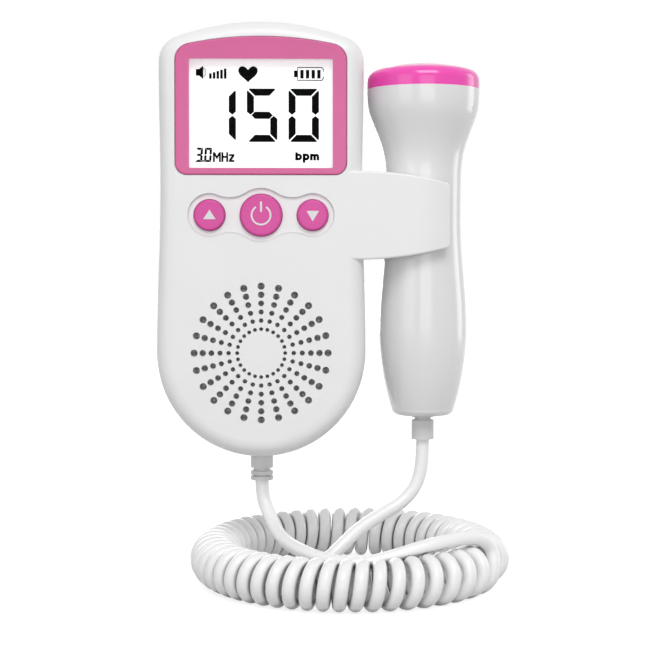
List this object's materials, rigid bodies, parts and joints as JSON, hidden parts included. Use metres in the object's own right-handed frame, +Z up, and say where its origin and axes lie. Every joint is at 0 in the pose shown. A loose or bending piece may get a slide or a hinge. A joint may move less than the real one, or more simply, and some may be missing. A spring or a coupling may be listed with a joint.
{
  "type": "fetal doppler monitor",
  "caption": "Pocket fetal doppler: upright handset with display, buttons and speaker grille, a probe held in its side clip, and a curly cord.",
  "frame": {"origin": "centre of the handset's flat back, at mid height", "axes": "+X to the probe, +Y out of the back, +Z up along the handset"},
  "size_m": [0.1083, 0.0988, 0.1722],
  "materials": {
    "white_housing": "satin moulded ABS",
    "pink_trim": "glossy moulded ABS",
    "clear_window": "clear acrylic",
    "lcd_glass": "smooth glass sandwich with a reflective back",
    "backlight": "milky diffuser",
    "conductive_rubber": "matt striped rubber",
    "circuit_board": "green solder mask",
    "switch_plastic": "moulded",
    "speaker_cloth": "woven dust cloth",
    "speaker_basket": "plated pressed steel",
    "speaker_paper": "pressed paper",
    "cell_jacket": "plain printed film, no marks",
    "contact_metal": "nickel plated spring steel",
    "screw_steel": "zinc plated",
    "socket_plastic": "moulded",
    "relief_rubber": "smooth soft PVC",
    "crystal_silver": "silvered ceramic",
    "backing_resin": "cast resin",
    "cord_jacket": "smooth soft PVC"
  },
  "bodies": {
    "handset": {"battery_contacts": "contact_metal", "battery_springs": "contact_metal", "curly_cord": "cord_jacket", "display_bezel": "pink_trim", "display_window": "clear_window", "down_switch": "switch_plastic", "earphone_socket": "socket_plastic", "front_shell": "white_housing", "lcd_backlight": "backlight", "lcd_connector_strip": "conductive_rubber", "lcd_panel": "lcd_glass", "left_battery": "cell_jacket", "main_circuit_board": "circuit_board", "power_switch": "switch_plastic", "probe_lead": "cord_jacket", "rear_screws": "screw_steel", "rear_shell": "white_housing", "right_battery": "cell_jacket", "speaker_cloth": "speaker_cloth", "speaker_cone": "speaker_paper", "speaker_frame": "speaker_basket", "speaker_magnet": "speaker_basket", "unit_lead": "cord_jacket", "unit_strain_relief": "relief_rubber", "up_switch": "switch_plastic"},
    "up_button": {"up_button": "pink_trim", "up_plunger": "switch_plastic"},
    "power_button": {"power_button": "pink_trim", "power_plunger": "switch_plastic"},
    "down_button": {"down_button": "pink_trim", "down_plunger": "switch_plastic"},
    "battery_cover": {"battery_cover": "white_housing"},
    "probe": {"probe_front_shell": "white_housing", "probe_rear_shell": "white_housing", "probe_face": "pink_trim", "transmit_crystal": "crystal_silver", "receive_crystal": "crystal_silver", "crystal_backing": "backing_resin", "probe_circuit_board": "circuit_board", "probe_strain_relief": "relief_rubber"}
  },
  "joints": [
    {"name": "up_press", "type": "slide", "parent": "handset", "child": "up_button", "axis": [0, 1, 0], "range_m": [0, 0.0006], "stiffness_N_per_m": 1500},
    {"name": "power_press", "type": "slide", "parent": "handset", "child": "power_button", "axis": [0, 1, 0], "range_m": [0, 0.0006], "stiffness_N_per_m": 1500},
    {"name": "down_press", "type": "slide", "parent": "handset", "child": "down_button", "axis": [0, 1, 0], "range_m": [0, 0.0006], "stiffness_N_per_m": 1500},
    {"name": "battery_cover_hinge", "type": "hinge", "parent": "handset", "child": "battery_cover", "pos_m": [0, 0, -0.059], "axis": [-1, 0, 0], "range_deg": [0, 75]},
    {"name": "probe_pull_out", "type": "slide", "parent": "handset", "child": "probe", "axis": [1, 0, 0], "range_m": [0, 0.03]}
  ]
}
